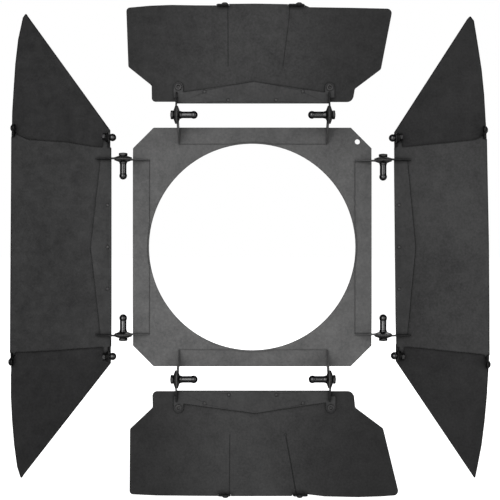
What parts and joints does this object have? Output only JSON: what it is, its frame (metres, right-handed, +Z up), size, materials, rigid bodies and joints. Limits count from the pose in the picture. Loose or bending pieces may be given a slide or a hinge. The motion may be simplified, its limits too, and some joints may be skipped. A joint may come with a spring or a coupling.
{
  "type": "barn door attachment",
  "caption": "Square lantern accessory frame with a round aperture and hinged light-shaping leaves on friction hinges; the side leaves carry folding triangular wings.",
  "frame": {"origin": "centre of the round light aperture, on the back face of the frame plate", "axes": "+Z up across the plate, +X to the right seen from the front, +Y through the plate towards the lantern; the beam leaves towards -Y"},
  "size_m": [0.5108, 0.0358, 0.5179],
  "materials": {
    "plate_coat": "matte fine-texture black powder coat, slightly worn",
    "leaf_coat": "matte fine-texture black powder coat",
    "leaf_rivet": "satin black, painted over",
    "black_steel": "satin black oxide",
    "black_screw": "semi-gloss black oxide",
    "knob_black": "gloss black enamel",
    "fibre": "pressed fibre"
  },
  "bodies": {
    "frame": {"base_plate": "plate_coat", "top_frame_bracket": "plate_coat", "bottom_frame_bracket": "plate_coat", "left_frame_bracket": "plate_coat", "right_frame_bracket": "plate_coat", "frame_cone_washers": "black_steel", "friction_washers": "fibre"},
    "top_leaf": {"top_leaf_panel": "leaf_coat", "top_leaf_bracket": "leaf_coat", "top_bracket_rivets": "leaf_rivet", "top_ear_rivets": "leaf_rivet", "top_edge_clips": "leaf_coat", "top_clip_rivets": "leaf_rivet", "top_cone_washers": "black_steel", "top_hinge_nuts": "black_screw"},
    "bottom_leaf": {"bottom_leaf_panel": "leaf_coat", "bottom_leaf_bracket": "leaf_coat", "bottom_bracket_rivets": "leaf_rivet", "bottom_ear_rivets": "leaf_rivet", "bottom_edge_clips": "leaf_coat", "bottom_clip_rivets": "leaf_rivet", "bottom_cone_washers": "black_steel", "bottom_hinge_nuts": "black_screw"},
    "left_leaf": {"left_leaf_panel": "leaf_coat", "left_leaf_bracket": "leaf_coat", "left_bracket_rivets": "leaf_rivet", "left_cone_washers": "black_steel", "left_hinge_nuts": "black_screw", "left_wing_pivot_rivets": "leaf_rivet", "left_wing_pivot_nuts": "black_screw", "left_wing_washers": "black_screw"},
    "right_leaf": {"right_leaf_panel": "leaf_coat", "right_leaf_bracket": "leaf_coat", "right_bracket_rivets": "leaf_rivet", "right_cone_washers": "black_steel", "right_hinge_nuts": "black_screw", "right_wing_pivot_rivets": "leaf_rivet", "right_wing_pivot_nuts": "black_screw", "right_wing_washers": "black_screw"},
    "left_upper_wing": {"left_upper_wing": "leaf_coat"},
    "left_upper_knob": {"left_upper_wing_knob": "knob_black"},
    "left_lower_wing": {"left_lower_wing": "leaf_coat"},
    "left_lower_knob": {"left_lower_wing_knob": "knob_black"},
    "right_upper_wing": {"right_upper_wing": "leaf_coat"},
    "right_upper_knob": {"right_upper_wing_knob": "knob_black"},
    "right_lower_wing": {"right_lower_wing": "leaf_coat"},
    "right_lower_knob": {"right_lower_wing_knob": "knob_black"},
    "top_left_pin": {"top_left_pin": "knob_black"},
    "top_right_pin": {"top_right_pin": "knob_black"},
    "bottom_left_pin": {"bottom_left_pin": "knob_black"},
    "bottom_right_pin": {"bottom_right_pin": "knob_black"},
    "left_upper_pin": {"left_upper_pin": "knob_black"},
    "left_lower_pin": {"left_lower_pin": "knob_black"},
    "right_upper_pin": {"right_upper_pin": "knob_black"},
    "right_lower_pin": {"right_lower_pin": "knob_black"}
  },
  "joints": [
    {"name": "top_leaf_hinge", "type": "hinge", "parent": "frame", "child": "top_leaf", "pos_m": [0, -0.026, 0.1371], "axis": [-1, 0, 0], "range_deg": [-180, 0]},
    {"name": "bottom_leaf_hinge", "type": "hinge", "parent": "frame", "child": "bottom_leaf", "pos_m": [0, -0.026, -0.1376], "axis": [1, 0, 0], "range_deg": [-180, 0]},
    {"name": "left_leaf_hinge", "type": "hinge", "parent": "frame", "child": "left_leaf", "pos_m": [-0.1364, -0.009, 0], "axis": [0, 0, 1], "range_deg": [0, 145]},
    {"name": "right_leaf_hinge", "type": "hinge", "parent": "frame", "child": "right_leaf", "pos_m": [0.1383, -0.009, 0], "axis": [0, 0, -1], "range_deg": [0, 145]},
    {"name": "left_upper_wing_hinge", "type": "hinge", "parent": "left_leaf", "child": "left_upper_wing", "pos_m": [-0.1528, -0.0076, 0.11635], "axis": [0.9954, 0, -0.096], "range_deg": [0, 180]},
    {"name": "left_lower_wing_hinge", "type": "hinge", "parent": "left_leaf", "child": "left_lower_wing", "pos_m": [-0.1527, -0.0076, -0.11611], "axis": [-0.9985, 0, -0.0554], "range_deg": [0, 180]},
    {"name": "right_upper_wing_hinge", "type": "hinge", "parent": "right_leaf", "child": "right_upper_wing", "pos_m": [0.1535, -0.0076, 0.11571], "axis": [0.9962, 0, 0.0869], "range_deg": [0, 180]},
    {"name": "right_lower_wing_hinge", "type": "hinge", "parent": "right_leaf", "child": "right_lower_wing", "pos_m": [0.15545, -0.0076, -0.11564], "axis": [-0.9957, 0, 0.0929], "range_deg": [0, 180]},
    {"name": "turn_top_left_pin", "type": "hinge", "parent": "frame", "child": "top_left_pin", "pos_m": [-0.0786, -0.026, 0.1371], "axis": [-1, 0, 0], "range_deg": [0, 180]},
    {"name": "turn_top_right_pin", "type": "hinge", "parent": "frame", "child": "top_right_pin", "pos_m": [0.0798, -0.026, 0.1371], "axis": [1, 0, 0], "range_deg": [0, 180]},
    {"name": "turn_bottom_left_pin", "type": "hinge", "parent": "frame", "child": "bottom_left_pin", "pos_m": [-0.07865, -0.026, -0.1376], "axis": [-1, 0, 0], "range_deg": [0, 180]},
    {"name": "turn_bottom_right_pin", "type": "hinge", "parent": "frame", "child": "bottom_right_pin", "pos_m": [0.08035, -0.026, -0.1376], "axis": [1, 0, 0], "range_deg": [0, 180]},
    {"name": "turn_left_upper_pin", "type": "hinge", "parent": "frame", "child": "left_upper_pin", "pos_m": [-0.1364, -0.009, 0.09305], "axis": [0, 0, 1], "range_deg": [0, 180]},
    {"name": "turn_left_lower_pin", "type": "hinge", "parent": "frame", "child": "left_lower_pin", "pos_m": [-0.1364, -0.009, -0.09305], "axis": [0, 0, -1], "range_deg": [0, 180]},
    {"name": "turn_right_upper_pin", "type": "hinge", "parent": "frame", "child": "right_upper_pin", "pos_m": [0.1383, -0.009, 0.0919], "axis": [0, 0, 1], "range_deg": [0, 180]},
    {"name": "turn_right_lower_pin", "type": "hinge", "parent": "frame", "child": "right_lower_pin", "pos_m": [0.1383, -0.009, -0.0931], "axis": [0, 0, -1], "range_deg": [0, 180]},
    {"name": "turn_left_upper_knob", "type": "hinge", "parent": "left_leaf", "child": "left_upper_knob", "pos_m": [-0.1528, -0.0076, 0.11635], "axis": [0.9954, 0, -0.096], "range_deg": [0, 180]},
    {"name": "turn_left_lower_knob", "type": "hinge", "parent": "left_leaf", "child": "left_lower_knob", "pos_m": [-0.1527, -0.0076, -0.11611], "axis": [-0.9985, 0, -0.0554], "range_deg": [0, 180]},
    {"name": "turn_right_upper_knob", "type": "hinge", "parent": "right_leaf", "child": "right_upper_knob", "pos_m": [0.1535, -0.0076, 0.11571], "axis": [0.9962, 0, 0.0869], "range_deg": [0, 180]},
    {"name": "turn_right_lower_knob", "type": "hinge", "parent": "right_leaf", "child": "right_lower_knob", "pos_m": [0.15545, -0.0076, -0.11564], "axis": [-0.9957, 0, 0.0929], "range_deg": [0, 180]}
  ]
}
